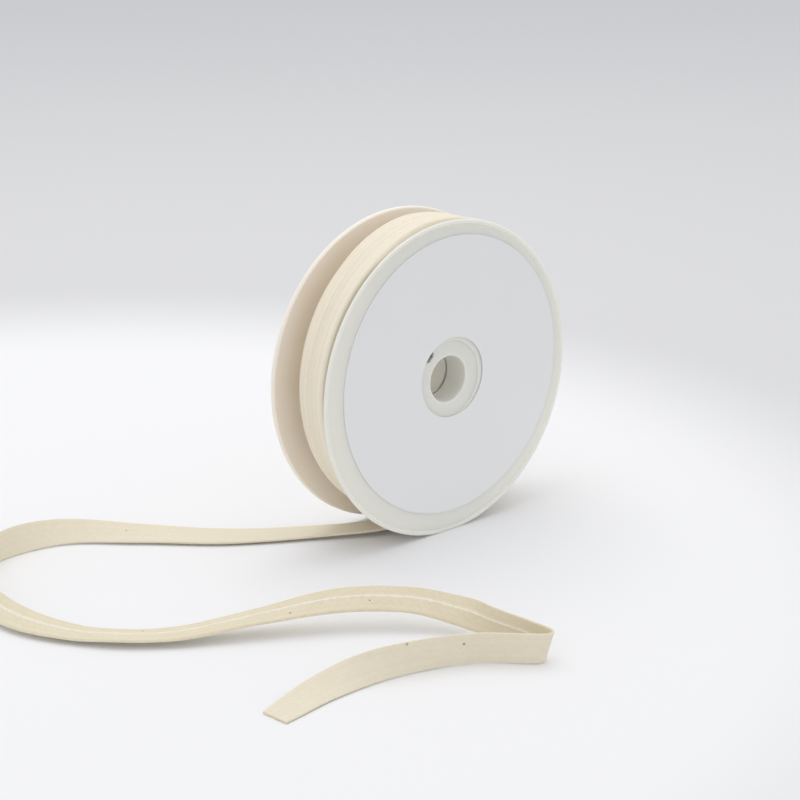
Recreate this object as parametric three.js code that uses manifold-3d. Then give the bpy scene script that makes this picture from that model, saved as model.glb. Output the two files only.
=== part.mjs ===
// Roll of folded cotton tape on a two-flange plastic reel that stands on its rims.
// Millimetres, +Z up. The reel's axis runs along Y, its labelled face looks along -Y, and the tape
// leaves under the reel towards -X. The origin is the middle of the flat spot under the front rim.
import * as THREE from "three";
import { mergeVertices } from "three/addons/utils/BufferGeometryUtils.js";
import Module from "manifold-3d";

// Reel
const REEL_R = 80;
const REEL_WIDTH = 41.7;
const RIM_WIDTH = 3.2;
const RIM_ROUND = 0.9;
const BEAD_INNER_R = 77.8;
const BEAD_CREST_DEPTH = 0.1; // where the bead's inner slope meets its crest
const FACE_DEPTH = 0.6; // how far the flange's face lies behind the bead round its rim
const WEB_BACK = 3.0; // depth of the flange's inner face
const FLAT_SPOT = 0.35; // height lost at the foot of the rims, where the reel rests

// Hub: the front flange's sleeve plugs the bore, and the core behind it carries the winding
const BOSS_R = 19.6;
const BOSS_DEPTH = 1.4;
const BOSS_SLOPE = 0.3; // how far the step down to the boss leans in
const BORE_R = 11.7;
const BORE_ROUND = 0.8;
const SLEEVE_OUTER_R = 13.6;
const SLEEVE_END = 14.9;
const BACK_SLEEVE_END = 4.4;
const CORE_BORE_R = 12.3;
const CORE_BORE_WALL = 1.6;
const CORE_R = 22;
const CORE_WALL = 1.8;
const CORE_WEB = 2;
const GAP = 0.3; // between pieces that touch
const SLEEVE_GAP = 2.2; // between the end of the front sleeve and the core's bore wall

// Latch window in the front boss
const SLOT_LENGTH = 6.2;
const SLOT_HEIGHT = 3.4;
const SLOT_R = 18.3;
const SLOT_ANGLE = 133; // degrees, from +X towards +Z

// Paper label, stuck on a little off centre
const LABEL_R = 70.7;
const LABEL_OFFSET = { x: 2.6, z: 1.5 };
const LABEL_HOLE_R = 20.4;
const LABEL_HOLE_OFFSET = { x: 1.7, z: 0.9 };
const LABEL_THICKNESS = 0.25;

// Tape and its winding
const TAPE_WIDTH = 14;
const TAPE_THICKNESS = 1.3;
const FOLD_ROUND = 0.6; // width over which a folded edge rounds off
const WOUND_R = 75.8;
const WOUND_RISE = 3.4; // the slack turns lie higher over the core than under it
const WOUND_FRONT = 3.6; // depth of the winding's front and back sides in the reel
const WOUND_BACK = 24.1;

const AXIS_Z = REEL_R - FLAT_SPOT;
const FRONT_Y = -RIM_WIDTH / 2; // the plane of the front rim's crest

const RIM_STEPS = 64;
const HUB_STEPS = 48;
const WOUND_STEPS = 72;
const TAPE_STEPS_PER_ROW = 8;

const plastic = new THREE.MeshStandardMaterial({ color: 0xd9d8ce, roughness: 0.45, metalness: 0 });
const corePlastic = new THREE.MeshStandardMaterial({ color: 0xb9b0a0, roughness: 0.6, metalness: 0 });
const paper = new THREE.MeshStandardMaterial({ color: 0xdededf, roughness: 0.8, metalness: 0 });
const cotton = new THREE.MeshStandardMaterial({ color: 0xeee2c6, roughness: 0.95, metalness: 0 });

const wasm = await Module();
wasm.setup();

function toSolid(geometry) {
  const g = geometry.index ? geometry.toNonIndexed() : geometry.clone();
  g.deleteAttribute("normal");
  g.deleteAttribute("uv");
  const merged = mergeVertices(g, 1e-3);
  return new wasm.Manifold(new wasm.Mesh({
    numProp: 3,
    vertProperties: merged.attributes.position.array,
    triVerts: new Uint32Array(merged.index.array),
  }));
}

function toGeometry(solid) {
  const mesh = solid.getMesh();
  const positions = new Float32Array(mesh.numVert * 3);
  for (let i = 0; i < mesh.numVert; i++) {
    const start = i * mesh.numProp;
    positions.set(mesh.vertProperties.subarray(start, start + 3), i * 3);
  }
  return new THREE.BufferGeometry()
    .setAttribute("position", new THREE.BufferAttribute(positions, 3))
    .setIndex(new THREE.BufferAttribute(mesh.triVerts, 1));
}

// The points of a quarter turn of a rounded edge, from one angle to the other.
function rounded(r, depth, radius, fromDegrees, toDegrees, steps = 3) {
  return Array.from({ length: steps + 1 }, (_, i) => {
    const a = THREE.MathUtils.degToRad(THREE.MathUtils.lerp(fromDegrees, toDegrees, i / steps));
    return [r + radius * Math.cos(a), depth + radius * Math.sin(a)];
  });
}

// A closed profile of [radius, depth] points turned about the reel's axis. Depth is measured
// into the reel from the crest of the rim.
function turned(profile, steps) {
  const points = [...profile, profile[0]].map(([r, depth]) => new THREE.Vector2(r, depth));
  return new THREE.LatheGeometry(points, steps, Math.PI / steps);
}

// A flange with the rim's bead, the sunk face, the boss round the bore and the sleeve behind it.
function flangeProfile(sleeveEnd, sleeveOuterR) {
  return [
    [BORE_R, sleeveEnd],
    ...rounded(BORE_R + BORE_ROUND, BOSS_DEPTH + BORE_ROUND, BORE_ROUND, 180, 270, 2),
    [BOSS_R - BOSS_SLOPE, BOSS_DEPTH],
    [BOSS_R, FACE_DEPTH],
    [BEAD_INNER_R, FACE_DEPTH],
    [BEAD_INNER_R + FACE_DEPTH, BEAD_CREST_DEPTH],
    ...rounded(REEL_R - RIM_ROUND, RIM_ROUND, RIM_ROUND, 270, 360),
    ...rounded(REEL_R - RIM_ROUND, RIM_WIDTH - RIM_ROUND, RIM_ROUND, 0, 90),
    [BEAD_INNER_R, WEB_BACK],
    [sleeveOuterR, WEB_BACK],
    [sleeveOuterR, sleeveEnd],
  ];
}

// Both rims are pressed flat where they stand.
function onFlatSpot(solid) {
  const below = new THREE.BoxGeometry(REEL_R, REEL_WIDTH * 2, REEL_R);
  below.translate(0, 0, -AXIS_Z - REEL_R / 2);
  return solid.subtract(toSolid(below));
}

function frontFlange() {
  const slot = new THREE.BoxGeometry(SLOT_HEIGHT, RIM_WIDTH * 3, SLOT_LENGTH);
  slot.translate(SLOT_R, 0, 0);
  slot.rotateY(-THREE.MathUtils.degToRad(SLOT_ANGLE));
  const disc = toSolid(turned(flangeProfile(SLEEVE_END, SLEEVE_OUTER_R), RIM_STEPS));
  return toGeometry(onFlatSpot(disc).subtract(toSolid(slot)));
}

function backFlange() {
  const geometry = turned(flangeProfile(BACK_SLEEVE_END, SLEEVE_OUTER_R), RIM_STEPS);
  geometry.rotateX(Math.PI);
  return toGeometry(onFlatSpot(toSolid(geometry)));
}

// A cup open to the front: the winding lies on its outer wall, and its inner wall is the bore.
function hubCore() {
  const front = WEB_BACK + GAP;
  const back = REEL_WIDTH - BACK_SLEEVE_END - GAP;
  const boreFront = SLEEVE_END + SLEEVE_GAP;
  return turned([
    [CORE_BORE_R, back],
    [CORE_BORE_R, boreFront],
    [CORE_BORE_R + CORE_BORE_WALL, boreFront],
    [CORE_BORE_R + CORE_BORE_WALL, back - CORE_WEB],
    [CORE_R - CORE_WALL, back - CORE_WEB],
    [CORE_R - CORE_WALL, front],
    [CORE_R, front],
    [CORE_R, REEL_WIDTH - WEB_BACK - GAP],
    [CORE_R - CORE_WALL, REEL_WIDTH - WEB_BACK - GAP],
    [CORE_R - CORE_WALL, back],
  ], HUB_STEPS);
}

function paperLabel() {
  const outline = new THREE.Shape();
  outline.absarc(LABEL_OFFSET.x, LABEL_OFFSET.z, LABEL_R, 0, 2 * Math.PI);
  const hole = new THREE.Path();
  hole.absarc(LABEL_HOLE_OFFSET.x, LABEL_HOLE_OFFSET.z, LABEL_HOLE_R, 0, 2 * Math.PI);
  outline.holes.push(hole);
  const geometry = new THREE.ExtrudeGeometry(outline, {
    depth: LABEL_THICKNESS,
    bevelEnabled: false,
    curveSegments: HUB_STEPS,
  });
  geometry.rotateX(Math.PI / 2);
  return geometry;
}

// The winding's section. Its outermost turn lies to the back, with its seam as a ridge, and the
// turn before it shows beside it at the front. height is added to the winding's radius.
const WOUND_SECTION = [
  { depth: WOUND_FRONT, height: -2.2 },
  { depth: 4.3, height: -0.9 },
  { depth: 7.2, height: -0.5 },
  { depth: 9.4, height: -1.5 },
  { depth: 10.6, height: -0.6 },
  { depth: 13.5, height: 0.2 },
  { depth: 17.6, height: 0.1 },
  { depth: 18.1, height: 0.5 },
  { depth: 18.8, height: -0.1 },
  { depth: 22.4, height: 0 },
  { depth: 23.6, height: -0.8 },
  { depth: WOUND_BACK, height: -2.2 },
];

// The winding is open where its last turn leaves, so its foot has a step as high as one turn.
function woundTape() {
  const innerR = CORE_R + GAP;
  const positions = [];
  const indices = [];
  for (let i = 0; i <= WOUND_STEPS; i++) {
    const turn = i / WOUND_STEPS; // from the foot, up the back (+X) side and round to the foot again
    const angle = -Math.PI / 2 + turn * 2 * Math.PI;
    const lastTurn = TAPE_THICKNESS * Math.max(0, 1 - 2 * turn);
    const c = Math.cos(angle);
    const s = Math.sin(angle);
    const ring = [
      ...WOUND_SECTION.map(({ depth, height }) => {
        const r = WOUND_R + height + lastTurn;
        return [r * c, depth, r * s + WOUND_RISE];
      }),
      [innerR * c, WOUND_BACK, innerR * s],
      [innerR * c, WOUND_FRONT, innerR * s],
    ];
    ring.forEach((point) => positions.push(...point));
  }
  const n = WOUND_SECTION.length + 2;
  for (let i = 0; i < WOUND_STEPS; i++) {
    for (let j = 0; j < n; j++) {
      const a = i * n + j;
      const b = i * n + ((j + 1) % n);
      indices.push(a, b, a + n, b, b + n, a + n);
    }
  }
  // the step: the two ends of the sweep lie in one plane, and the larger shows past the smaller
  for (let j = 0; j < n; j++) {
    const a = j;
    const b = (j + 1) % n;
    const last = WOUND_STEPS * n;
    indices.push(a, a + last, b, b, a + last, b + last);
  }
  const geometry = new THREE.BufferGeometry();
  geometry.setAttribute("position", new THREE.Float32BufferAttribute(positions, 3));
  geometry.setIndex(indices);
  return geometry;
}

// The loose tape's middle line on the floor, with the clearance under its lower edge, and its
// tilt about its own length. At 0 the seam is underneath, at -90 the tape stands on one edge,
// and at -180 the seam is on top.
const LOOSE_ROWS = [
  { at: "under the winding", x: -1.3, y: 15.0, lift: 5.15, tilt: 0 },
  { at: "between the rims", x: -25.5, y: 19.1, lift: 3.3, tilt: 0 },
  { at: "down to the floor", x: -58.2, y: 39.0, lift: 1.4, tilt: -2 },
  { at: "along the floor", x: -93.8, y: 61.4, lift: 1.0, tilt: -9 },
  { at: "tipping up", x: -123.5, y: 89.2, lift: 0.9, tilt: -19 },
  { at: "into the loop", x: -157, y: 114.8, lift: 0.3, tilt: -46 },
  { at: "loop, standing", x: -195.5, y: 112, lift: 0, tilt: -88 },
  { at: "loop, far side", x: -222.5, y: 82.4, lift: 0.2, tilt: -127 },
  { at: "loop, tipped over", x: -225.5, y: 40, lift: 2, tilt: -163 },
  { at: "out of the loop", x: -206, y: 2.4, lift: 2.2, tilt: -182 },
  { at: "rising", x: -183.5, y: -18.5, lift: 3.0, tilt: -181 },
  { at: "up the arch", x: -148.5, y: -37.5, lift: 7.1, tilt: -175 },
  { at: "top of the arch", x: -117, y: -56, lift: 9.3, tilt: -153 },
  { at: "arch, tipping", x: -93, y: -76.5, lift: 8.6, tilt: -147 },
  { at: "coming down", x: -81, y: -95, lift: 4.8, tilt: -132 },
  { at: "on edge", x: -76.5, y: -110, lift: 2.7, tilt: -99 },
  { at: "before the crease", x: -73, y: -130, lift: 2.4, tilt: -86 },
  { at: "crease", x: -72.6, y: -142.8, lift: 0.6, tilt: -90 },
  { at: "past the crease", x: -75.6, y: -143.4, lift: 0.3, tilt: -90 },
  { at: "going back", x: -98.3, y: -123, lift: 0.4, tilt: -90 },
  { at: "leaning", x: -132, y: -109.7, lift: 0.2, tilt: -74 },
  { at: "lying down", x: -164, y: -104.5, lift: 0, tilt: -31 },
  { at: "cut end", x: -195, y: -107.5, lift: 0, tilt: 0 },
];

// The tape's section: across is along its width, up is through its thickness.
const TAPE_SECTION = [
  { across: -TAPE_WIDTH / 2, up: 0 },
  { across: -TAPE_WIDTH / 2 + FOLD_ROUND, up: -TAPE_THICKNESS / 2 },
  { across: TAPE_WIDTH / 2 - FOLD_ROUND, up: -TAPE_THICKNESS / 2 },
  { across: TAPE_WIDTH / 2, up: 0 },
  { across: TAPE_WIDTH / 2 - FOLD_ROUND, up: TAPE_THICKNESS / 2 },
  { across: -TAPE_WIDTH / 2 + FOLD_ROUND, up: TAPE_THICKNESS / 2 },
];

function looseTape() {
  const path = new THREE.CatmullRomCurve3(LOOSE_ROWS.map(({ x, y }) => new THREE.Vector3(x, y, 0)));
  const pose = new THREE.CatmullRomCurve3(
    LOOSE_ROWS.map(({ lift, tilt }) => new THREE.Vector3(tilt, lift, 0)), false, "catmullrom",
  );
  const stations = (LOOSE_ROWS.length - 1) * TAPE_STEPS_PER_ROW;
  const centres = [];
  const tilts = [];
  for (let i = 0; i <= stations; i++) {
    const u = i / stations;
    const { x: tiltDegrees, y: lift } = pose.getPoint(u);
    const tilt = THREE.MathUtils.degToRad(tiltDegrees);
    const reach = (TAPE_WIDTH / 2) * Math.abs(Math.sin(tilt))
      + (TAPE_THICKNESS / 2) * Math.abs(Math.cos(tilt));
    const centre = path.getPoint(u);
    centre.z = Math.max(0, lift) + reach;
    centres.push(centre);
    tilts.push(tilt);
  }
  const up = new THREE.Vector3(0, 0, 1);
  const positions = [];
  const indices = [];
  centres.forEach((centre, i) => {
    const ahead = new THREE.Vector3()
      .subVectors(centres[Math.min(i + 1, stations)], centres[Math.max(i - 1, 0)])
      .setZ(0)
      .normalize();
    const left = new THREE.Vector3().crossVectors(up, ahead);
    const across = left.clone().multiplyScalar(Math.cos(tilts[i]))
      .addScaledVector(up, Math.sin(tilts[i]));
    const face = new THREE.Vector3().crossVectors(ahead, across);
    TAPE_SECTION.forEach((point) => {
      const corner = centre.clone()
        .addScaledVector(across, point.across)
        .addScaledVector(face, point.up);
      positions.push(corner.x, corner.y, corner.z);
    });
  });
  const n = TAPE_SECTION.length;
  for (let i = 0; i < stations; i++) {
    for (let j = 0; j < n; j++) {
      const a = i * n + j;
      const b = i * n + ((j + 1) % n);
      indices.push(a, b, a + n, b, b + n, a + n);
    }
  }
  const last = stations * n;
  for (let j = 1; j < n - 1; j++) {
    indices.push(0, j + 1, j);
    indices.push(last, last + j, last + j + 1);
  }
  const geometry = new THREE.BufferGeometry();
  geometry.setAttribute("position", new THREE.Float32BufferAttribute(positions, 3));
  geometry.setIndex(indices);
  return geometry;
}

function piece(name, geometry, material) {
  const mesh = new THREE.Mesh(geometry, material);
  mesh.name = name;
  return mesh;
}

const roll = new THREE.Group();

const reel = new THREE.Group();
reel.position.set(0, FRONT_Y, AXIS_Z);
roll.add(reel);

reel.add(piece("front_flange", frontFlange(), plastic));

const back = piece("back_flange", backFlange(), plastic);
back.position.y = REEL_WIDTH;
reel.add(back);

reel.add(piece("hub_core", hubCore(), corePlastic));
reel.add(piece("wound_tape", woundTape(), cotton));

const label = piece("paper_label", paperLabel(), paper);
label.position.y = FACE_DEPTH;
reel.add(label);

roll.add(piece("loose_tape", looseTape(), cotton));

export default roll;
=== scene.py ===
# A roll of folded cotton tape on a flanged plastic reel that stands on its rims. The tape's loose end
# runs from under the reel over the floor. The reel and the tape are given in millimetres and made in
# metres. The floor, the light and the camera are given in metres.
import math

import bmesh
import bpy
import numpy as np
from mathutils import Matrix, Vector


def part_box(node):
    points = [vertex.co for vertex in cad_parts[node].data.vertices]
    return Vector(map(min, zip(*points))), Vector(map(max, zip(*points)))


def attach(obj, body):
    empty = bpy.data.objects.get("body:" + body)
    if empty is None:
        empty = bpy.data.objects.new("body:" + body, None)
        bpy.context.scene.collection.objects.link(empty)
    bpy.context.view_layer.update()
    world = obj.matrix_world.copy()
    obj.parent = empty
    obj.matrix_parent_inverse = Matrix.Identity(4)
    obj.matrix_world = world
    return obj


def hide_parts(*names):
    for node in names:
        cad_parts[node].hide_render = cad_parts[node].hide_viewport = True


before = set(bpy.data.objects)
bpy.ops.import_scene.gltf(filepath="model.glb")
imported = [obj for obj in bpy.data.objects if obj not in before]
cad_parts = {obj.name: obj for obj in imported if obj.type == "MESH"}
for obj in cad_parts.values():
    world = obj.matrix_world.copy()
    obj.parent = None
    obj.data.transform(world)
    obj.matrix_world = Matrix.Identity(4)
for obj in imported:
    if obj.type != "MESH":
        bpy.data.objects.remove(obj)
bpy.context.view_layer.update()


# The two flanges
# Discs of off-white high-impact polystyrene, injection-moulded in a polished tool. A rounded bead
# runs round the rim, the face lies a little lower, and a sunk boss rings the bore. The front disc's
# sleeve plugs into the hub's core and makes the first part of the bore.

MM = 0.001
REEL_R = 80.0
RIM_ROUND = 0.8
# Behind its rounded edge the rim slopes in to the disc's inner face. These are the depth where the
# slope starts and how far in it goes.
FRONT_RIM_SLOPE = (1.0, 2.2)
BACK_RIM_SLOPE = (2.3, 0.6)
BEAD_CREST_R = 78.4
BEAD_CREST_DEPTH = 0.02
BEAD_FOOT_R = 77.5
BEAD_FOOT_DEPTH = 0.85
FACE_DEPTH = 0.6
FACE_DIP_R = 74.0  # from here out the face dips a little towards the bead's foot
WEB_BACK = 3.0
BOSS_R = 19.6
BOSS_DEPTH = 1.4
BORE_R = 11.7
BORE_ROUND = 0.8
EDGE_ROUND = 0.3
SLEEVE_R = 13.6
FRONT_SLEEVE_END = 14.9
BACK_SLEEVE_END = 4.4
FLAT_SPOT = 0.35  # how much lower the axis lies than on a fully round rim
TURN_STEPS = 288
SHARP_DEGREES = 38

AXIS_Z = REEL_R - FLAT_SPOT
FRONT_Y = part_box("front_flange")[0].y / MM  # the crest of the front rim
BACK_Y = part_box("back_flange")[1].y / MM  # the crest of the back rim


def arc(r, depth, radius, start, end, steps=6):
    """Points of a rounded corner in a [radius, depth] profile, between two angles in degrees."""
    angles = np.radians(np.linspace(start, end, steps + 1))
    return [(r + radius * math.cos(a), depth + radius * math.sin(a)) for a in angles]


def make_piece(name, points, faces, material, slot, corner_uv=None, sharp_degrees=SHARP_DEGREES):
    """A smooth-shaded mesh from points in millimetres, which stays with the reel."""
    mesh = bpy.data.meshes.new(name)
    mesh.from_pydata((np.asarray(points, float) * MM).tolist(), [], [list(face) for face in faces])
    if corner_uv is not None:
        layer = mesh.uv_layers.new(name="tape_mm")
        layer.uv.foreach_set("vector", np.asarray(corner_uv, np.float32).ravel())
    mesh.shade_smooth()
    mesh.set_sharp_from_angle(angle=math.radians(sharp_degrees))
    mesh.materials.append(material)
    piece = bpy.data.objects.new(name, mesh)
    bpy.context.scene.collection.objects.link(piece)
    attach(piece, "root")
    return piece


def turned(profile, front_y, direction=1):
    """Points and faces of a closed [radius, depth] profile turned about the reel's axis."""
    count = len(profile)
    points = []
    for i in range(TURN_STEPS):
        a = 2 * math.pi * i / TURN_STEPS
        for r, depth in profile:
            z = max(0.0, AXIS_Z + r * math.sin(a))  # the rims are flat where they stand
            points.append((r * math.cos(a), front_y + direction * depth, z))
    faces = []
    for i in range(TURN_STEPS):
        near = i * count
        far = (i + 1) % TURN_STEPS * count
        for j in range(count):
            k = (j + 1) % count
            face = (near + j, near + k, far + k, far + j)
            faces.append(face if direction > 0 else face[::-1])
    return points, faces


def flange_profile(sleeve_end, rim_slope):
    """A flange's section, from the bore over its outer face and round the rim to the sleeve."""
    slope_start, slope_in = rim_slope
    return [
        (BORE_R, sleeve_end),
        *arc(BORE_R + BORE_ROUND, BOSS_DEPTH + BORE_ROUND, BORE_ROUND, 180, 270),
        *arc(BOSS_R - EDGE_ROUND, BOSS_DEPTH - EDGE_ROUND, EDGE_ROUND, 90, 0, 4),
        *arc(BOSS_R + EDGE_ROUND, FACE_DEPTH + EDGE_ROUND, EDGE_ROUND, 180, 270, 4),
        (FACE_DIP_R, FACE_DEPTH),
        (FACE_DIP_R + 2, FACE_DEPTH + 0.05),
        # the bead: an eased foot, a steep side and an eased crest
        (BEAD_FOOT_R - 0.3, BEAD_FOOT_DEPTH - 0.02),
        (BEAD_FOOT_R, BEAD_FOOT_DEPTH),
        (BEAD_FOOT_R + 0.25, BEAD_FOOT_DEPTH - 0.1),
        (BEAD_CREST_R - 0.25, BEAD_CREST_DEPTH + 0.1),
        (BEAD_CREST_R, BEAD_CREST_DEPTH),
        # the rim's edge, and its slope with both ends eased
        *arc(REEL_R - RIM_ROUND, RIM_ROUND, RIM_ROUND, 270, 360, 12),
        (REEL_R, slope_start - 0.05),
        (REEL_R - 0.05, slope_start + 0.1),
        (REEL_R - 0.2, slope_start + 0.25),
        (REEL_R - slope_in + 0.1, WEB_BACK - 0.1),
        (REEL_R - slope_in - 0.15, WEB_BACK),
        # the inner face and the sleeve
        (FACE_DIP_R, WEB_BACK),
        (SLEEVE_R, WEB_BACK),
        (SLEEVE_R, sleeve_end),
    ]


def keep_faces_flat(piece):
    """Large flat faces set the shading of the corners that round them off."""
    piece.modifiers.new("flat faces", "WEIGHTED_NORMAL").keep_sharp = True


def hex_colour(text):
    """An sRGB hex colour as linear values."""
    values = [int(text[i:i + 2], 16) / 255 for i in (0, 2, 4)]
    linear = [v / 12.92 if v <= 0.04045 else ((v + 0.055) / 1.055) ** 2.4 for v in values]
    return (*linear, 1.0)


def add_node(material, kind, inputs=(), **settings):
    """Adds a node. inputs pairs a socket with a value, or with the output that feeds it."""
    node = material.node_tree.nodes.new(kind)
    for name, value in settings.items():
        setattr(node, name, value)
    for socket, value in inputs:
        if isinstance(value, bpy.types.NodeSocket):
            material.node_tree.links.new(value, node.inputs[socket])
        else:
            node.inputs[socket].default_value = value
    return node


def new_material(name, **values):
    """A material with constant values set on its own shader. Returns it with that shader's sockets."""
    material = bpy.data.materials.new(name)
    material.use_nodes = True
    sockets = material.node_tree.nodes["Principled BSDF"].inputs
    for socket, value in values.items():
        sockets[socket.replace("_", " ")].default_value = value
    return material, sockets


# Moulded polystyrene: an even body colour with a soft sheen. The tool's polish leaves a faint orange
# peel, and handling leaves the gloss a little uneven over wider patches.
PEEL_WIDTH = 2.38
PEEL_HEIGHT = 0.05
HANDLED_WIDTH = 26.3
LIGHT_REACH = 4.0  # how far light travels inside the plastic


def moulded_polystyrene(name, colour, shaded_colour, roughness, **light_inside):
    """light_inside holds values for the shader's subsurface sockets, where light shines in."""
    material, shader = new_material(name, IOR=1.59, Specular_IOR_Level=0.4, **light_inside)
    place = add_node(material, "ShaderNodeTexCoord").outputs["Object"]
    clouds = add_node(material, "ShaderNodeTexNoise", [
        ("Vector", place), ("Scale", 1 / (HANDLED_WIDTH * MM)), ("Detail", 3.0), ("Roughness", 0.55),
    ]).outputs[0]
    tint = add_node(material, "ShaderNodeMix", [
        (0, clouds), (6, hex_colour(colour)), (7, hex_colour(shaded_colour)),
    ], data_type="RGBA").outputs[2]
    gloss = add_node(material, "ShaderNodeMapRange", [
        ("Value", clouds), ("To Min", roughness - 0.05), ("To Max", roughness + 0.07),
    ]).outputs["Result"]
    peel = add_node(material, "ShaderNodeTexNoise", [
        ("Vector", place), ("Scale", 1 / (PEEL_WIDTH * MM)), ("Detail", 2.0),
    ]).outputs[0]
    bump = add_node(material, "ShaderNodeBump", [
        ("Height", peel), ("Strength", 0.35), ("Distance", PEEL_HEIGHT * MM),
    ]).outputs["Normal"]
    material.node_tree.links.new(tint, shader["Base Color"])
    material.node_tree.links.new(gloss, shader["Roughness"])
    material.node_tree.links.new(bump, shader["Normal"])
    return material


front_plastic = moulded_polystyrene(
    "off-white polystyrene, moulded", "EAE9E0", "E6E5DC", 0.42,
    Subsurface_Weight=0.6, Subsurface_Radius=(1.0, 0.97, 0.9), Subsurface_Scale=LIGHT_REACH * MM)
# The back disc is painted warmer and paler than the front one: painted warm light, for the light the cream
# tape bounces onto it. Light from behind also shines through it.
back_plastic = moulded_polystyrene(
    "polystyrene, moulded, painted warm light", "F1E9DF", "EDE3D8", 0.48,
    Subsurface_Weight=0.85, Subsurface_Radius=(1.0, 0.88, 0.76), Subsurface_Scale=LIGHT_REACH * MM)

front = make_piece("flange_front", *turned(flange_profile(FRONT_SLEEVE_END, FRONT_RIM_SLOPE), FRONT_Y),
                   front_plastic, "reel_plastic")
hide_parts("front_flange")

back = make_piece("flange_back", *turned(flange_profile(BACK_SLEEVE_END, BACK_RIM_SLOPE), BACK_Y, -1),
                  back_plastic, "reel_plastic")
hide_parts("back_flange")
keep_faces_flat(back)

# A small oblong window, moulded through the front boss at its upper left.
WINDOW_LENGTH = 6.2
WINDOW_HEIGHT = 3.4
WINDOW_R = 18.3
WINDOW_DEGREES = 133
WINDOW_CORNER = 0.9

window = bmesh.new()
bmesh.ops.create_cube(window, size=1.0)
bmesh.ops.scale(window, vec=(WINDOW_HEIGHT * MM, 4 * WEB_BACK * MM, WINDOW_LENGTH * MM),
                verts=window.verts)
corners = [e for e in window.edges if abs((e.verts[0].co - e.verts[1].co).y) > WEB_BACK * MM]
bmesh.ops.bevel(window, geom=corners, offset=WINDOW_CORNER * MM, segments=4, affect="EDGES")
bmesh.ops.translate(window, vec=(WINDOW_R * MM, 0, 0), verts=window.verts)
turn = Matrix.Rotation(-math.radians(WINDOW_DEGREES), 4, "Y")
bmesh.ops.transform(window, matrix=Matrix.Translation((0, FRONT_Y * MM, AXIS_Z * MM)) @ turn,
                    verts=window.verts)
window_mesh = bpy.data.meshes.new("window cutter")
window.to_mesh(window_mesh)
window.free()
cutter = bpy.data.objects.new("window cutter", window_mesh)
bpy.context.scene.collection.objects.link(cutter)
cut = front.modifiers.new("boss window", "BOOLEAN")
cut.operation = "DIFFERENCE"
cut.solver = "EXACT"
cut.object = cutter
bpy.context.view_layer.update()
cut_mesh = bpy.data.meshes.new_from_object(front.evaluated_get(bpy.context.evaluated_depsgraph_get()))
front.modifiers.remove(cut)
front.data = cut_mesh
front.data.set_sharp_from_angle(angle=math.radians(SHARP_DEGREES))
bpy.data.objects.remove(cutter)
keep_faces_flat(front)


# The hub's core
# A cup of grey-beige reground polystyrene between the flanges, open to the front. The tape is wound
# on its outer wall, and its inner wall is the deeper part of the bore, with the tool's turning marks.

CORE_BORE_R = 12.3
CORE_BORE_WALL = 1.6
CORE_R = 22.0
CORE_WALL = 1.8
CORE_WEB = 2.0
GAP = 0.3  # play between the reel's mouldings
SLEEVE_GAP = 2.2  # from the front sleeve's end to the core's own bore wall, seen as a dark ring

reel_width = BACK_Y - FRONT_Y
core_front = WEB_BACK + GAP
core_back = reel_width - BACK_SLEEVE_END - GAP
bore_front = FRONT_SLEEVE_END + SLEEVE_GAP
core_profile = [
    (CORE_BORE_R, core_back),
    (CORE_BORE_R, bore_front + GAP),
    (CORE_BORE_R + GAP, bore_front),
    (CORE_BORE_R + CORE_BORE_WALL, bore_front),
    (CORE_BORE_R + CORE_BORE_WALL, core_back - CORE_WEB),
    (CORE_R - CORE_WALL, core_back - CORE_WEB),
    (CORE_R - CORE_WALL, core_front),
    (CORE_R, core_front),
    (CORE_R, reel_width - core_front),
    (CORE_R - CORE_WALL, reel_width - core_front),
    (CORE_R - CORE_WALL, core_back),
]

core_plastic = moulded_polystyrene("grey-beige polystyrene, reground", "F5F1E8", "ECE8DD", 0.6)
# Turning marks of the tool's core pin, drawn 0.8 mm apart, which is about twice as coarse as real
# ones, so that they show.
MARK_SPACING = 0.8
MARK_HEIGHT = 0.12
WAVE_PERIOD = 2 * math.pi / 20  # of Blender's band pattern at scale 1
rings = add_node(core_plastic, "ShaderNodeTexWave", [
    ("Vector", add_node(core_plastic, "ShaderNodeTexCoord").outputs["Object"]),
    ("Scale", WAVE_PERIOD / (MARK_SPACING * MM)), ("Distortion", 0.6),
], wave_type="BANDS", bands_direction="Y").outputs[1]
ring_bump = add_node(core_plastic, "ShaderNodeBump", [
    ("Height", rings), ("Strength", 0.6), ("Distance", MARK_HEIGHT * MM),
]).outputs["Normal"]
core_plastic.node_tree.links.new(
    ring_bump, core_plastic.node_tree.nodes["Principled BSDF"].inputs["Normal"])

core = make_piece("core_moulding", *turned(core_profile, FRONT_Y), core_plastic, "core_plastic")
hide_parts("hub_core")


# The label
# A round of light grey label paper with a die-cut hole, stuck on the front flange a little off
# centre, so that its hole just covers the step down to the boss on the left. Its face is bare.

LABEL_R = 70.7
LABEL_X = 2.6
LABEL_Z = 1.5
HOLE_R = 20.4
HOLE_X = 1.7
HOLE_Z = 0.9
PAPER = 0.2
CURL = 0.3  # the die-cut edge round the hole has curled up on the right
CURL_DEGREES = 35
CURL_REACH = 3.5
LABEL_RINGS = 40
RING_CROWDING = 1.6  # the mesh's rings lie closer together near the hole

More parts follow.
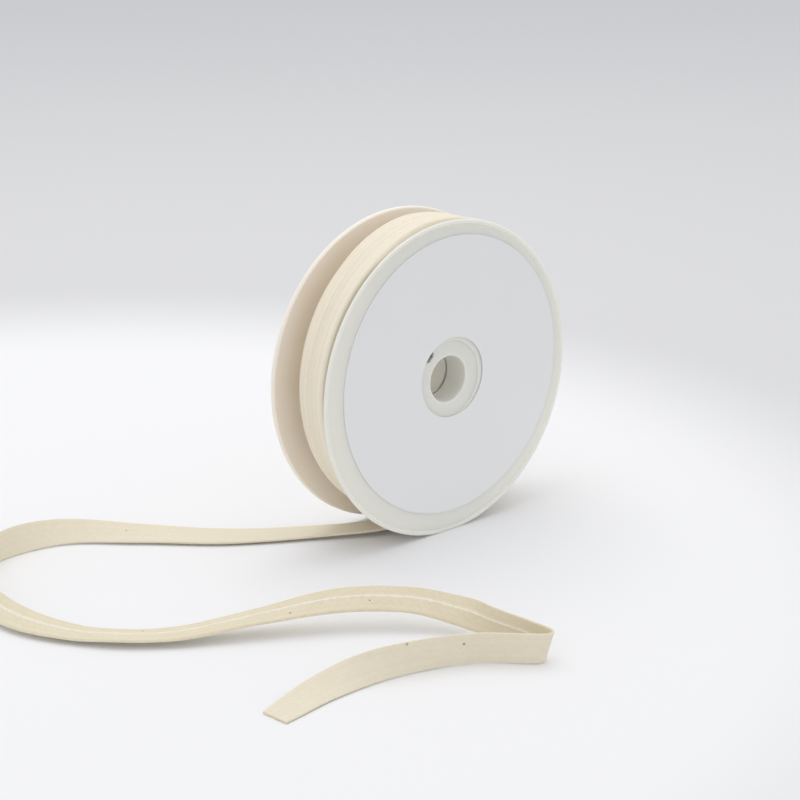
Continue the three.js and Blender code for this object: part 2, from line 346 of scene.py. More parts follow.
# Uncoated label paper: an even, slightly cool grey with hardly any gloss. Its fibres are drawn 1.1 mm
# apart, which is coarser than real ones, so that the grain shows.
FIBRE_SPACING = 1.11
FIBRE_HEIGHT = 0.04
PATCH_WIDTH = 33.3
label_paper, shader = new_material("label paper, uncoated", Specular_IOR_Level=0.35)
place = add_node(label_paper, "ShaderNodeTexCoord").outputs["Object"]
fibre = add_node(label_paper, "ShaderNodeTexNoise", [
    ("Vector", place), ("Scale", 1 / (FIBRE_SPACING * MM)), ("Detail", 4.0), ("Roughness", 0.6),
]).outputs[0]
patches = add_node(label_paper, "ShaderNodeTexNoise", [
    ("Vector", place), ("Scale", 1 / (PATCH_WIDTH * MM)), ("Detail", 2.0),
]).outputs[0]
tint = add_node(label_paper, "ShaderNodeMix", [
    (0, patches), (6, hex_colour("ECECEB")), (7, hex_colour("E9E9E9")),
], data_type="RGBA").outputs[2]
grain = add_node(label_paper, "ShaderNodeBump", [
    ("Height", fibre), ("Strength", 0.25), ("Distance", FIBRE_HEIGHT * MM),
]).outputs["Normal"]
matt = add_node(label_paper, "ShaderNodeMapRange", [
    ("Value", fibre), ("To Min", 0.55), ("To Max", 0.7),
]).outputs["Result"]
label_paper.node_tree.links.new(tint, shader["Base Color"])
label_paper.node_tree.links.new(matt, shader["Roughness"])
label_paper.node_tree.links.new(grain, shader["Normal"])

points = []
for depth in (FACE_DEPTH - PAPER, FACE_DEPTH):
    for ring in range(LABEL_RINGS + 1):
        out = (ring / LABEL_RINGS) ** RING_CROWDING
        r = HOLE_R + (LABEL_R - HOLE_R) * out
        x = HOLE_X + (LABEL_X - HOLE_X) * out
        z = HOLE_Z + (LABEL_Z - HOLE_Z) * out
        for i in range(TURN_STEPS):
            a = 2 * math.pi * i / TURN_STEPS
            curl = max(0.0, 1 - (r - HOLE_R) / CURL_REACH) ** 2
            curl *= CURL * (0.5 + 0.5 * math.cos(a - math.radians(CURL_DEGREES)))
            points.append((x + r * math.cos(a), FRONT_Y + depth - curl, AXIS_Z + z + r * math.sin(a)))
faces = []
side = (LABEL_RINGS + 1) * TURN_STEPS
for i in range(TURN_STEPS):
    k = (i + 1) % TURN_STEPS
    for ring in range(LABEL_RINGS):
        near = ring * TURN_STEPS
        far = near + TURN_STEPS
        faces.append((near + i, far + i, far + k, near + k))
        faces.append((side + near + k, side + far + k, side + far + i, side + near + i))
    rim = LABEL_RINGS * TURN_STEPS
    faces.append((rim + i, side + rim + i, side + rim + k, rim + k))
    faces.append((k, side + k, side + i, i))
label = make_piece("label_sheet", points, faces, label_paper, "label_paper")
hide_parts("paper_label")


# The winding
# Some twenty metres of unbleached cotton tape, 14 mm wide, folded so that its edges meet in a seam.
# It is wound with the seam outwards in turns that wander from side to side. The outermost turn lies
# to the back, and the turn before it shows as a strip along the front flange.

TAPE_WIDTH = 14.0
TAPE_THICKNESS = 1.3
SEAM_ACROSS = -0.84  # the seam's place from the middle of the tape, towards its back edge
WOUND_R = 75.8
WOUND_RISE = 3.4  # slack: the turns lie higher over the core than under it
WOUND_FRONT = 3.5
WOUND_BACK = 25.0
LAYERS = 42
STATIONS = 360  # of one turn
EDGE_POINTS = 4  # of a turn's folded edge, seen on the winding's side

# Where the ridges and troughs of the outermost turns lie round the winding, as depths from the front
# rim, and how high the front edge lies. Degrees run from the foot up the right-hand side.
WINDING_ROWS = [
    # degrees, front edge, height of that edge, front crest, trough, seam, dip, back crest
    (0, 5.0, -1.7, 7.4, 12.6, 17.9, 20.9, 23.6),
    (90, 4.0, -1.0, 5.4, 11.2, 17.3, 20.6, 23.8),
    (170, 3.15, -2.4, 4.7, 9.4, 16.4, 20.2, 24.0),
    (196, 3.15, -2.4, 4.9, 9.5, 17.1, 20.0, 24.2),
    (210, 3.4, -2.2, 5.4, 11.6, 17.6, 20.0, 24.2),
    (222, 4.6, -2.4, 6.1, 13.2, 18.0, 20.3, 24.0),
    (236, 5.3, -2.8, 6.7, 14.4, 18.2, 20.4, 23.8),
    (252, 5.8, -2.8, 7.3, 15.6, 18.9, 21.2, 23.8),
    (268, 6.4, -2.4, 8.2, 16.2, 19.8, 21.7, 24.0),
    (292, 5.8, -1.7, 8.7, 17.0, 20.4, 22.0, 24.2),
    (360, 5.8, -1.7, 8.8, 17.0, 20.4, 22.2, 24.2),
]
# degrees, and how far the outermost turns lie above or below the circle of the others
HEIGHT_ROWS = [
    (0, 0.0), (120, 0.0), (150, -0.4), (165, 0.1), (176, 0.7), (186, 1.4), (196, 1.5), (208, 1.1),
    (222, 0.4), (240, 0.1), (360, 0.0),
]
# Degrees, and how much further from the front flange the turns below lie than the outermost one. At
# the top all of them lean on it.
UNDERCUT_ROWS = [(0, 2.6), (90, 1.5), (150, 0.0), (205, 0.0), (224, 2.6), (360, 2.6)]
UNDERCUT_TURNS = 7
SHOULDER_HEIGHT = 0.35
CREST_HEIGHT = 0.9
GROOVE_HEIGHT = -0.25
FOLD_HEIGHT = -0.1
TROUGH_HEIGHT = -0.9
SEAM_FOOT_HEIGHT = 0.0
SEAM_HEIGHT = 0.35
SEAM_HALF = 0.4
DIP_HEIGHT = -0.3
BACK_HEIGHT = 0.0
BACK_CORNER_HEIGHT = -0.7
BACK_CORNER_IN = 0.15
GROOVE_AT = 0.38  # share of the way from the front crest to the trough
FOLD_AT = 0.52
RIPPLE_TURNS = 0.04  # the cloth ripples along its length: turns between swells, and their height
RIPPLE_HEIGHT = 0.03
LAYING_TURNS = 0.31  # each turn was laid on by hand: turns between swings, and how wide they are
LAYING_SWING = 0.3
EDGE_GAP_DEPTH = 0.55  # of the gap between two folded edges on the winding's side


def through(knots, values, at):
    """A smooth curve through rows of values (Catmull-Rom), read at the given places."""
    knots = np.asarray(knots, float)
    values = np.asarray(values, float)
    t = np.concatenate([[2 * knots[0] - knots[1]], knots, [2 * knots[-1] - knots[-2]]])
    v = np.concatenate([[2 * values[0] - values[1]], values, [2 * values[-1] - values[-2]]])
    k = np.clip(np.searchsorted(knots, at, side="right") - 1, 0, len(knots) - 2) + 1
    shape = (-1,) + (1,) * (values.ndim - 1)
    step = (t[k + 1] - t[k]).reshape(shape)
    before = (t[k] - t[k - 1]).reshape(shape)
    after = (t[k + 2] - t[k + 1]).reshape(shape)
    slope = (v[k + 1] - v[k]) / step
    start = step * ((v[k] - v[k - 1]) / before - (v[k + 1] - v[k - 1]) / (before + step) + slope)
    end = step * (slope - (v[k + 2] - v[k]) / (step + after) + (v[k + 2] - v[k + 1]) / after)
    w = ((at - t[k]) / (t[k + 1] - t[k])).reshape(shape)
    return ((2 * w ** 3 - 3 * w ** 2 + 1) * v[k] + (w ** 3 - 2 * w ** 2 + w) * start
            + (3 * w ** 2 - 2 * w ** 3) * v[k + 1] + (w ** 3 - w ** 2) * end)


def wander(seed, places, spacing, size):
    """Smooth random wandering along a line: one seeded value for each spacing."""
    count = int(max(places) / spacing) + 3
    values = np.random.default_rng(seed).normal(0, size, count)
    return through(np.arange(count) * spacing, values, np.asarray(places, float))


turns = np.arange(STATIONS + 1) / STATIONS
rows = np.array(WINDING_ROWS, float)
edge_line, edge_height, crest, trough, seam, dip, back_crest = through(
    rows[:, 0], rows[:, 1:], turns * 360).T
groove = crest + GROOVE_AT * (trough - crest)
fold = crest + FOLD_AT * (trough - crest)
# Each line along the outermost turns: depth, height, and number of steps to the next line. The seam's
# ridge is flatter towards the front.
lines_along = [
    (edge_line, edge_height, 1),
    (edge_line + 0.05 * (crest - edge_line), edge_height / 2, 2),
    (edge_line + 0.25 * (crest - edge_line), SHOULDER_HEIGHT, 3),
    (crest, CREST_HEIGHT, 4),
    (groove, GROOVE_HEIGHT, 2),
    (fold, FOLD_HEIGHT, 4),
    (trough, TROUGH_HEIGHT, 4),
    (seam - SEAM_HALF * 1.6, SEAM_FOOT_HEIGHT, 2),
    (seam, SEAM_HEIGHT, 2),
    (seam + SEAM_HALF, SEAM_FOOT_HEIGHT - 0.1, 3),
    (dip, DIP_HEIGHT, 4),
    (back_crest, BACK_HEIGHT, 3),
    (np.full_like(crest, WOUND_BACK - BACK_CORNER_IN), BACK_CORNER_HEIGHT, 1),
]
depths = []
heights = []
for line, (depth, height, steps) in enumerate(lines_along[:-1]):
    next_depth, next_height, _ = lines_along[line + 1]
    for step in range(steps):
        q = step / steps
        ease = (1 - math.cos(math.pi * q)) / 2
        depths.append(depth + (next_depth - depth) * q)
        heights.append(height + (next_height - height) * ease
                       + wander(line * 10 + step, turns, RIPPLE_TURNS, RIPPLE_HEIGHT))
depths.append(lines_along[-1][0])
heights.append(np.full_like(crest, lines_along[-1][1]))
depths = np.array(depths).T
heights = np.array(heights).T
columns = depths.shape[1]
swell = np.array(HEIGHT_ROWS, float)
heights += through(swell[:, 0], swell[:, 1:], turns * 360)


def on_winding(turn, depth, height, inwards):
    """A point of the winding. inwards is 0 at its outside and 1 on the core."""
    a = 2 * math.pi * turn - math.pi / 2
    r = (WOUND_R + TAPE_THICKNESS + height) * (1 - inwards) + (CORE_R + GAP) * inwards
    z = AXIS_Z + WOUND_RISE * (1 - inwards) + r * np.sin(a)
    return np.stack([r * np.cos(a), FRONT_Y + depth, z], -1)


def layers_in(turn):
    """How many thicknesses of tape lie over a place on the spiral, counted in turns from outside."""
    return np.floor(turn) + np.minimum(1.0, 2 * (turn % 1.0))


# The outside: one turn, from the foot round to the step where the tape leaves.
JUST_BEFORE = 1e-9  # keeps the end of a turn from counting as the start of the next
inwards = layers_in(np.minimum(turns, 1 - JUST_BEFORE)) / LAYERS
points = on_winding(turns[:, None], depths, heights, inwards[:, None]).reshape(-1, 3).tolist()
faces = []
corner_uv = []
AROUND = 2 * math.pi * WOUND_R
across = SEAM_ACROSS - (depths - seam[:, None])
for i in range(STATIONS):
    for j in range(columns - 1):
        a = i * columns + j
        faces.append((a, a + columns, a + columns + 1, a + 1))
        for m, n in ((i, j), (i + 1, j), (i + 1, j + 1), (i, j + 1)):
            corner_uv.append((across[m, n], AROUND * m / STATIONS))

# The sides: the folded edges of all turns, one spiral of rounded ridges. Each turn stands out or in
# by its own wandering, because the tape was laid on by hand.
last = (LAYERS - 1) * STATIONS


def spiral_side(depth, out, column, points_each, seed):
    """Adds one side of the winding. out is +1 where the side looks to the back and -1 to the front.

    Returns the points along the turns' edges, and those between two edges where the spiral starts and
    where it ends.
    """
    first = len(points)
    spiral = np.arange(STATIONS, LAYERS * STATIONS + 1) / STATIONS
    swing = wander(seed, np.arange(LAYERS * STATIONS + 1) / STATIONS, LAYING_TURNS, LAYING_SWING)
    boundary = np.array([i * columns + column for i in range(STATIONS + 1)])
    if out < 0:
        # The front side follows the front strip's edge and fades to an even wall further in.
        fade = np.clip(1 - (spiral - 1) / UNDERCUT_TURNS, 0, 1)
        around_edge = edge_line[np.arange(STATIONS, LAYERS * STATIONS + 1) % STATIONS]
        undercut = np.interp(360 * (spiral % 1.0), *zip(*UNDERCUT_ROWS))
        set_back = fade * (around_edge + undercut - depth)
    else:
        set_back = 0.0
    inner = on_winding(spiral, depth + set_back + out * (swing[STATIONS:] - EDGE_GAP_DEPTH), 0.0,
                       np.minimum(1.0, layers_in(spiral - JUST_BEFORE) / LAYERS))
    points.extend(inner[1:].tolist())
    edge = np.concatenate([boundary, np.arange(first, first + LAYERS * STATIONS - STATIONS)])
    rows_of = [edge]
    places = np.arange(last + 1) / STATIONS
    for j in range(1, points_each):
        q = j / points_each
        first = len(points)
        here = layers_in(places) + q * (layers_in(places + 1) - layers_in(places))
        bulge = out * (swing[:last + 1] - EDGE_GAP_DEPTH * (1 - math.sin(math.pi * q) ** 0.6))
        points.extend(on_winding(places, depth + bulge, 0.0, np.minimum(1.0, here / LAYERS)).tolist())
        rows_of.append(np.arange(first, first + last + 1))
    for i in range(last):
        v = AROUND * (i % STATIONS) / STATIONS
        for j in range(points_each):
            if j + 1 < points_each:
                face = (rows_of[j][i], rows_of[j + 1][i], rows_of[j + 1][i + 1], rows_of[j][i + 1])
            else:
                face = (rows_of[j][i], edge[i + STATIONS], edge[i + STATIONS + 1], rows_of[j][i + 1])
            u = [TAPE_WIDTH / 2 + TAPE_THICKNESS * (j + k) / points_each for k in (0, 1, 1, 0)]
            vs = (v, v, v + AROUND / STATIONS, v + AROUND / STATIONS)
            pairs = list(zip(u, vs))
            if out < 0:
                face = face[::-1]
                pairs = pairs[::-1]
            faces.append(face)
            corner_uv.extend(pairs)
    return edge, [row[0] for row in rows_of[1:]], [row[last] for row in rows_of[1:]]


back_edge, back_start, back_end = spiral_side(WOUND_BACK, 1, columns - 1, EDGE_POINTS, 3)
front_edge, _, _ = spiral_side(WOUND_FRONT, -1, 0, 1, 4)  # plain, because the flange hides it

# The inside against the core, and the two steps where the spiral starts and ends.
for i in range(last, last + STATIONS):
    faces.append((front_edge[i + 1], front_edge[i], back_edge[i], back_edge[i + 1]))
    corner_uv.extend([(0.0, 0.0)] * 4)
foot = [*range(columns), *back_start, *reversed(range(STATIONS * columns, (STATIONS + 1) * columns))]
core_step = [front_edge[last], back_edge[last], *back_end, back_edge[last + STATIONS],
             front_edge[last + STATIONS]]
for face in (foot, core_step):
    faces.append(tuple(face))
    corner_uv.extend([(0.0, 0.0)] * len(face))

# Unbleached cotton, plain-woven, cut on the bias and folded under an iron: matt and a little fuzzy,
# cream with paler and darker slubs along its diagonal threads. Real threads lie 0.4 mm apart. They
# are drawn 0.9 mm apart, which is as coarse as they need to be to show.
THREAD_SPACING = 0.9
SLUB_LENGTH = 8.33
SLUB_WIDTH = 0.625
CLOUD_WIDTH = 9.09  # of the patches where the cotton is a little darker
CREASE_SPACING = 3.1
SEAM_GAP_SPACING = 2.22
TUFT_WIDTH = 0.455
RELIEF = 0.08


def woven_cotton(name, colour, shaded_colour, seam_highlight_strength, seam_gaps, crease_shade):
    """seam_highlight_strength is how strongly the seam's edges are painted paler as a painted highlight,
    seam_gaps how much of that is broken, and crease_shade how dark the painted shade in the ironed creases
    is, each from 0 to 1."""
    cotton, shader = new_material(name, Roughness=0.95, Specular_IOR_Level=0.2, Sheen_Weight=0.2,
                                  Sheen_Roughness=0.6)
    flat = add_node(cotton, "ShaderNodeUVMap", uv_map="tape_mm").outputs["UV"]
    bias = add_node(cotton, "ShaderNodeMapping", [
        ("Vector", flat), ("Rotation", (0, 0, math.radians(45))),
    ]).outputs["Vector"]
    warp, weft = (
        add_node(cotton, "ShaderNodeTexWave", [
            ("Vector", bias), ("Scale", WAVE_PERIOD / THREAD_SPACING), ("Distortion", 0.5),
            ("Detail", 1.0), ("Detail Scale", 1.5),
        ], wave_type="BANDS", bands_direction=direction).outputs[1]
        for direction in "XY"
    )
    both = add_node(cotton, "ShaderNodeMath", [(0, warp), (1, weft)], operation="MULTIPLY").outputs[0]
    either = add_node(cotton, "ShaderNodeMath", [(0, warp), (1, weft)], operation="ADD").outputs[0]
    # over and under: both * 2 - either + 1
    weave = add_node(cotton, "ShaderNodeMath", [(0, both), (1, 2.0), (2, 1.0)],
                     operation="MULTIPLY_ADD").outputs[0]
    weave = add_node(cotton, "ShaderNodeMath", [(0, weave), (1, either)], operation="SUBTRACT").outputs[0]
    slubs = []
    for stretch in ((1 / SLUB_LENGTH, 1 / SLUB_WIDTH, 1.0), (1 / SLUB_WIDTH, 1 / SLUB_LENGTH, 1.0)):
        run = add_node(cotton, "ShaderNodeMapping", [
            ("Vector", bias), ("Scale", stretch),
        ]).outputs["Vector"]
        slubs.append(add_node(cotton, "ShaderNodeTexNoise", [
            ("Vector", run), ("Scale", 1.0), ("Detail", 2.0),
        ]).outputs[0])
    slub = add_node(cotton, "ShaderNodeMath", [(0, slubs[0]), (1, slubs[1])],
                    operation="MULTIPLY").outputs[0]
    slub = add_node(cotton, "ShaderNodeMapRange", [
        ("Value", slub), ("From Min", 0.12), ("From Max", 0.42),
    ]).outputs["Result"]
    clouds = add_node(cotton, "ShaderNodeTexNoise", [
        ("Vector", flat), ("Scale", 1 / CLOUD_WIDTH), ("Detail", 3.0), ("Roughness", 0.6),
    ]).outputs[0]
    cloth = add_node(cotton, "ShaderNodeMix", [
        (0, clouds), (6, hex_colour(colour)), (7, hex_colour(shaded_colour)),
    ], data_type="RGBA").outputs[2]
    slub_shade = add_node(cotton, "ShaderNodeMath", [(0, slub), (1, 0.35)], operation="MULTIPLY").outputs[0]
    cloth = add_node(cotton, "ShaderNodeMix", [
        (0, slub_shade), (6, cloth), (7, hex_colour("F8F0DE")),
    ], data_type="RGBA").outputs[2]
    # The iron leaves faint creases along the tape, over the edges of the layers folded in below. They are
    # drawn as darker bands of painted shade, with no relief of their own.
    creases = add_node(cotton, "ShaderNodeTexWave", [
        ("Vector", flat), ("Scale", WAVE_PERIOD / CREASE_SPACING), ("Distortion", 1.2), ("Detail", 1.0),
        ("Detail Scale", 0.25),
    ], wave_type="BANDS", bands_direction="X").outputs[1]
    crease_painted_shade = add_node(cotton, "ShaderNodeMapRange", [
        ("Value", creases), ("From Min", 0.0), ("From Max", 0.35), ("To Min", crease_shade),
        ("To Max", 0.0),
    ]).outputs["Result"]
    cloth = add_node(cotton, "ShaderNodeMix", [
        (0, crease_painted_shade), (6, cloth), (7, hex_colour("DFCCAC")),
    ], data_type="RGBA").outputs[2]
    # The folded edges at the seam are painted paler, a painted highlight for the light their raised edges
    # catch. It breaks up where one edge dips under the other.
    across_seam = add_node(cotton, "ShaderNodeSeparateXYZ", [("Vector", flat)]).outputs["X"]
    from_seam = add_node(cotton, "ShaderNodeMath", [(0, across_seam), (1, -SEAM_ACROSS)],
                         operation="ADD").outputs[0]
    from_seam = add_node(cotton, "ShaderNodeMath", [(0, from_seam)], operation="ABSOLUTE").outputs[0]
    painted_highlight_on_seam = add_node(cotton, "ShaderNodeMapRange", [
        ("Value", from_seam), ("From Min", 0.3), ("From Max", 1.0), ("To Min", seam_highlight_strength),
        ("To Max", 0.0),
    ]).outputs["Result"]
    broken = add_node(cotton, "ShaderNodeTexNoise", [
        ("Vector", flat), ("Scale", 1 / SEAM_GAP_SPACING),
    ]).outputs[0]
    broken = add_node(cotton, "ShaderNodeMapRange", [
        ("Value", broken), ("From Min", 0.35), ("From Max", 0.6), ("To Min", 1 - seam_gaps),
    ]).outputs["Result"]
    painted_highlight_on_seam = add_node(cotton, "ShaderNodeMath", [(0, painted_highlight_on_seam), (1, broken)],
                       operation="MULTIPLY").outputs[0]
    cloth = add_node(cotton, "ShaderNodeMix", [
        (0, painted_highlight_on_seam), (6, cloth), (7, hex_colour("F9F2E4")),
    ], data_type="RGBA").outputs[2]
    # The plain side is painted a little paler than the side with the seam: painted light, for where it
    # faces up to the soft box as the loose end lies flat.
    plain_side_painted_light = add_node(cotton, "ShaderNodeMapRange", [
        ("Value", across_seam), ("From Min", TAPE_WIDTH / 2 - 0.3), ("From Max", TAPE_WIDTH / 2 + 0.3),
        ("To Max", 0.38),
    ]).outputs["Result"]
    cloth = add_node(cotton, "ShaderNodeMix", [
        (0, plain_side_painted_light), (6, cloth), (7, hex_colour("F1EAD8")),
    ], data_type="RGBA").outputs[2]
    fuzz = add_node(cotton, "ShaderNodeTexNoise", [
        ("Vector", flat), ("Scale", 1 / TUFT_WIDTH), ("Detail", 3.0), ("Roughness", 0.7),
    ]).outputs[0]
    relief = add_node(cotton, "ShaderNodeMath", [(0, fuzz), (1, 1.2), (2, weave)],
                      operation="MULTIPLY_ADD").outputs[0]
    surface = add_node(cotton, "ShaderNodeBump", [
        ("Height", relief), ("Strength", 0.5), ("Distance", RELIEF * MM),
    ]).outputs["Normal"]
    cotton.node_tree.links.new(cloth, shader["Base Color"])
    cotton.node_tree.links.new(surface, shader["Normal"])
    return cotton


wound_cotton = woven_cotton("unbleached cotton, wound", "F1E7D3", "E9DEC8", 0.5, 1.0, 0.2)

winding = make_piece("tape_winding", points, faces, wound_cotton, "cotton_tape", corner_uv,
                     sharp_degrees=70)
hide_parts("wound_tape")


# The loose end
# The same folded tape, run out from under the reel: along the floor with its plain side up, round a
# loop where it stands on edge and tips over, and forwards as a low arch with its seam up. It stands
# on edge again into a sharp crease, turns back and lies down towards its cut end.

# x, y: the middle line, seen from above. lift: clearance under the lower edge. tilt: degrees about
# the tape's own length, 0 with the seam underneath, -90 on one edge and -180 with the seam on top.
LOOSE_ROWS = [
    # x, y, lift, tilt
    (-1.3, 15.0, 5.15, 0),
    (-25.5, 19.1, 3.3, 0),
    (-58.2, 39.0, 1.4, -2),
    (-93.8, 61.4, 1.0, -9),
    (-123.5, 89.2, 0.9, -19),
    (-157, 114.8, 0.3, -46),
    (-195.5, 112, 0, -88),
    (-222.5, 82.4, 0.2, -127),
    (-225.5, 40, 2, -163),
    (-206, 2.4, 2.2, -182),
    (-183.5, -18.5, 3.0, -181),
    (-148.5, -37.5, 7.1, -175),
    (-117, -56, 9.3, -153),
    (-93, -76.5, 8.6, -147),
    (-81, -95, 4.8, -132),
    (-76.5, -110, 2.1, -100),
    (-73, -130, 1.6, -86),
    (-72.6, -142.8, 0.6, -90),
    (-75.6, -143.4, 0.3, -90),
    (-98.3, -123, 0.4, -90),
    (-132, -109.7, 0.2, -74),
    (-164, -104.5, 0, -31),
    (-195, -107.5, 0, 0),
]
STATION_STEP = 1.0
FINE_STEPS = 8000  # along the whole path, to measure its length
FLOOR_CLEARANCE = 0.02
# The width and the thickness vary along the tape: millimetres between swells, and their share.
WIDTH_SWELLS = (23.0, 0.008)
THICKNESS_SWELLS = (9.0, 0.06)

# The tape's section: across its width, and out of its plain side. The seam side shows the lifted fold
# that meets the other at the seam, and the plain side a faint line where the seam lies behind it.
PLAIN_SIDE = [
    (-6.75, 0.52), (-6.2, 0.62), (-4.8, 0.56), (-3.2, 0.5), (-1.8, 0.53), (-0.9, 0.6), (-0.1, 0.52),
    (1.8, 0.46), (3.6, 0.5), (5.2, 0.56), (6.2, 0.62), (6.75, 0.52),
]
SEAM_SIDE = [
    (6.75, -0.5), (6.2, -0.64), (5.0, -0.6), (3.4, -0.52), (1.6, -0.54), (0.4, -0.6), (-0.1, -0.58),
    (-0.3, -0.5), (-0.42, -0.56), (-0.56, -0.82), (-0.84, -0.96), (-1.16, -0.86), (-1.7, -0.7),
    (-3.6, -0.56), (-5.2, -0.6), (-6.2, -0.64), (-6.75, -0.5),
]

path_points = np.array([row[:2] for row in LOOSE_ROWS], float)
chords = np.linalg.norm(np.diff(path_points, axis=0), axis=1)
knots = np.concatenate([[0], np.cumsum(np.sqrt(chords))])
row_numbers = np.arange(len(LOOSE_ROWS), dtype=float)


def loose_path(at):
    """The tape's middle line, with its height, and its tilt in radians, at places counted in rows."""
    middle = through(knots, path_points, np.interp(at, row_numbers, knots))
    pose = through(row_numbers, np.array([row[2:] for row in LOOSE_ROWS], float), at)
    tilt = np.radians(pose[:, 1])
    reach = TAPE_WIDTH / 2 * np.abs(np.sin(tilt)) + TAPE_THICKNESS / 2 * np.abs(np.cos(tilt))
    return np.column_stack([middle, np.maximum(0, pose[:, 0]) + reach]), tilt


fine = np.linspace(0, row_numbers[-1], FINE_STEPS)
line, _ = loose_path(fine)
run = np.concatenate([[0], np.cumsum(np.linalg.norm(np.diff(line, axis=0), axis=1))])
loose_length = run[-1]
count = int(loose_length / STATION_STEP)
along = np.linspace(0, loose_length, count + 1)
centres, tilts = loose_path(np.interp(along, run, fine))
ahead = np.gradient(centres, axis=0)
ahead[:, 2] = 0
ahead /= np.linalg.norm(ahead, axis=1, keepdims=True)
up = np.array([0.0, 0.0, 1.0])
left = np.cross(up, ahead)
sideways = left * np.cos(tilts)[:, None] + up * np.sin(tilts)[:, None]
outwards = np.cross(ahead, sideways)

section = np.array([(-TAPE_WIDTH / 2, 0.0), *PLAIN_SIDE, (TAPE_WIDTH / 2, 0.0), *SEAM_SIDE])
plain_count = len(PLAIN_SIDE) + 1
section_count = len(section)
width = 1 + wander(21, along, *WIDTH_SWELLS)
thick = 1 + wander(22, along, *THICKNESS_SWELLS)
points = (centres[:, None] + sideways[:, None] * (section[:, 0] * width[:, None])[..., None]
          + outwards[:, None] * (section[:, 1] * thick[:, None])[..., None])
points = points.reshape(-1, 3)
points[:, 2] = np.maximum(points[:, 2], FLOOR_CLEARANCE)
# The crease leans: its top lies further right than its foot. The lean fades away along the tape.
CREASE_AT = (-74.0, -143.0)
CREASE_LEAN = 0.28
CREASE_REACH = 24.0
LEAN_TOWARDS = (0.75, -0.66)
from_crease = np.hypot(points[:, 0] - CREASE_AT[0], points[:, 1] - CREASE_AT[1])
near_crease = np.clip(1 - from_crease / CREASE_REACH, 0, 1)
lean = CREASE_LEAN * (points[:, 2] - TAPE_WIDTH / 2) * near_crease ** 1.5
points[:, :2] += lean[:, None] * LEAN_TOWARDS
# across the cloth, running on round the folded edge from the seam side to the plain side
unfolded = np.where(np.arange(section_count) < plain_count, TAPE_WIDTH - section[:, 0], section[:, 0])
faces = []
corner_uv = []
for i in range(count):
    for j in range(section_count):
        k = (j + 1) % section_count
        a = i * section_count
        b = a + section_count
        faces.append((a + j, a + k, b + k, b + j))
        u, w = unfolded[j], unfolded[k]
        if abs(u - w) > TAPE_WIDTH / 2:  # round the other folded edge, where the counting starts again
            u = w
        corner_uv += [(u, along[i]), (w, along[i]), (w, along[i + 1]), (u, along[i + 1])]
for end, order in ((0, -1), (count, 1)):
    corners = range(section_count)[::order]
    faces.append(tuple(end * section_count + j for j in corners))
    corner_uv += [(unfolded[j], along[end]) for j in corners]

# The loose end is the winding's cotton, given a darker, more saturated colour than the winding: painted
# shade, for the less light that reaches it.
loose_cotton = woven_cotton("unbleached cotton, loose, painted shade", "E3D9BF", "D8CDAF", 0.85, 0.4, 0.34)
# Flecks of cotton seed, caught in the yarn: where along the rows, how far across, radius, colour
FLECKS = [
    (11.36, 3.1, 0.55, "6E6A4C"),
    (12.40, 1.4, 0.45, "75704F"),
    (19.13, 16.3, 0.6, "6B6650"),
    (19.83, 20.0, 0.6, "A88A72"),
    (4.2, 15.0, 0.4, "8A7A58"),
    (9.6, -4.0, 0.4, "7A7050"),
]
flat = add_node(loose_cotton, "ShaderNodeUVMap", uv_map="tape_mm").outputs["UV"]
base = loose_cotton.node_tree.nodes["Principled BSDF"].inputs["Base Color"]
cloth = base.links[0].from_socket
for row, across, radius, colour in FLECKS:
    place = (across, float(np.interp(row, fine, run)), 0.0)
    away = add_node(loose_cotton, "ShaderNodeVectorMath", [(0, flat), (1, place)],
                    operation="DISTANCE").outputs["Value"]
    fleck = add_node(loose_cotton, "ShaderNodeMapRange", [
        ("Value", away), ("From Min", 0.5 * radius), ("From Max", 1.3 * radius), ("To Min", 0.8),
        ("To Max", 0.0),
    ]).outputs["Result"]
    cloth = add_node(loose_cotton, "ShaderNodeMix", [
        (0, fleck), (6, cloth), (7, hex_colour(colour)),
    ], data_type="RGBA").outputs[2]
loose_cotton.node_tree.links.new(cloth, base)

tape_end = make_piece("tape_end", points, faces, loose_cotton, "cotton_tape", corner_uv,
                      sharp_degrees=50)
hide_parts("loose_tape")


# The floor
# A plain sheet of matt white card that the reel stands on. Its colour is painted paler in a round patch
# about the reel and its tape, and darker and cooler further out: a painted pool of light.

FLOOR_HALF = 6.0
LIT_CENTRE = (-0.182, 0.114, 0.0)
LIT_INSIDE = 0.34
LIT_OUTSIDE = 0.53
floor_mesh = bpy.data.meshes.new("floor")
floor_mesh.from_pydata([(-FLOOR_HALF, -FLOOR_HALF, 0), (FLOOR_HALF, -FLOOR_HALF, 0),
                        (FLOOR_HALF, FLOOR_HALF, 0), (-FLOOR_HALF, FLOOR_HALF, 0)], [], [(0, 1, 2, 3)])
floor = bpy.data.objects.new("floor", floor_mesh)
bpy.context.scene.collection.objects.link(floor)
matt_card, shader = new_material("matt white card", Roughness=0.85, Specular_IOR_Level=0.2)
place = add_node(matt_card, "ShaderNodeTexCoord").outputs["Object"]
away = add_node(matt_card, "ShaderNodeVectorMath", [(0, place), (1, LIT_CENTRE)],
                operation="DISTANCE").outputs["Value"]
# the painted pool of light: full inside LIT_INSIDE, gone past LIT_OUTSIDE
far = add_node(matt_card, "ShaderNodeMapRange", [
    ("Value", away), ("From Min", LIT_INSIDE), ("From Max", LIT_OUTSIDE),
], interpolation_type="SMOOTHSTEP").outputs["Result"]
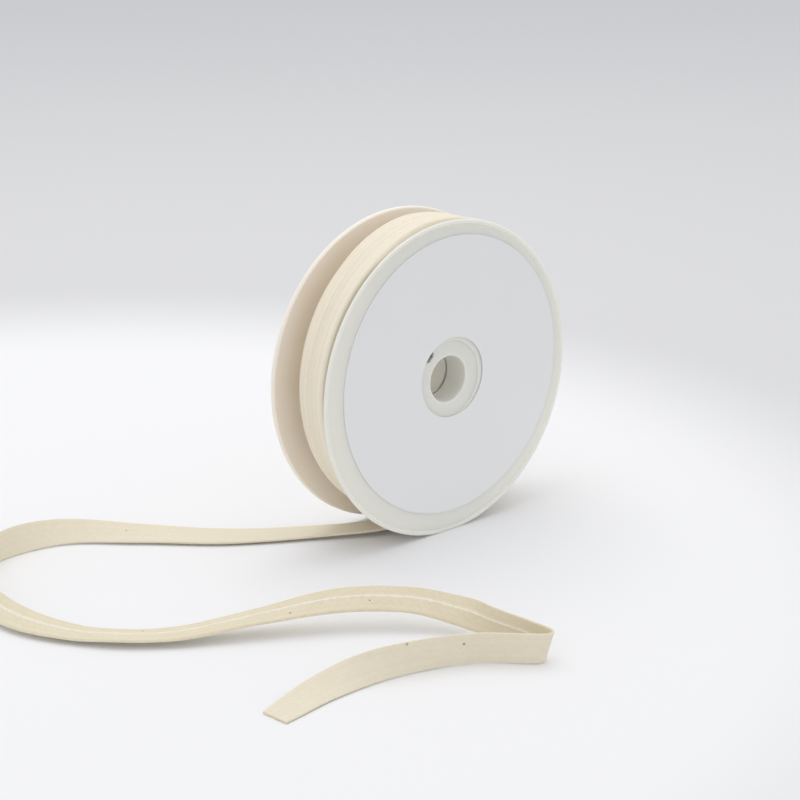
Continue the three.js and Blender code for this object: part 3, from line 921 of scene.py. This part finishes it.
card = add_node(matt_card, "ShaderNodeMix", [
    (0, far), (6, hex_colour("F0F0F1")), (7, hex_colour("D6D6D7")),
], data_type="RGBA").outputs[2]
matt_card.node_tree.links.new(card, shader["Base Color"])
floor.data.materials.append(matt_card)


# Light and camera
# Soft studio light: a pale surround on all sides, and one large soft box above and behind the reel.
# The camera stands at the photograph's angle, a little above the reel.

SOFT_BOX_AT = Vector((0.1, 0.4, 1.5))
SOFT_BOX_AIM = Vector((-0.05, 0.0, 0.04))
SOFT_BOX_WIDTH = 1.6
SOFT_BOX_POWER = 7.6

world = bpy.data.worlds.new("studio surround")
world.use_nodes = True
surround = world.node_tree.nodes["Background"].inputs
surround["Color"].default_value = hex_colour("F4F5F8")
surround["Strength"].default_value = 0.93
bpy.context.scene.world = world

light = bpy.data.lights.new("soft box above and behind", "AREA")
light.shape = "SQUARE"
light.size = SOFT_BOX_WIDTH
light.energy = SOFT_BOX_POWER
light.color = hex_colour("FFFDF8")[:3]
soft_box = bpy.data.objects.new("soft box above and behind", light)
soft_box.location = SOFT_BOX_AT
soft_box.rotation_euler = (SOFT_BOX_AIM - SOFT_BOX_AT).to_track_quat("-Z", "Y").to_euler()
bpy.context.scene.collection.objects.link(soft_box)

# The photograph's view: 41.5 degrees to the left of the labelled face, 17.8 degrees above the floor.
AZIMUTH = -41.54
ELEVATION = 17.8
DISTANCE = 0.98637
AIM = Vector((-0.0206, 0.0126, 0.0701))
LENS = 90
SENSOR = 36
SIGHT_END = 30
azimuth = math.radians(AZIMUTH)
elevation = math.radians(ELEVATION)
towards = Vector((math.sin(azimuth) * math.cos(elevation), -math.cos(azimuth) * math.cos(elevation),
                  math.sin(elevation)))
camera_data = bpy.data.cameras.new("camera")
camera_data.lens = LENS
camera_data.sensor_width = SENSOR
camera_data.clip_end = SIGHT_END
camera = bpy.data.objects.new("camera", camera_data)
camera.location = AIM + towards * DISTANCE
camera.rotation_euler = (-towards).to_track_quat("-Z", "Y").to_euler()
bpy.context.scene.collection.objects.link(camera)
bpy.context.scene.camera = camera
bpy.context.scene.view_settings.view_transform = "Standard"
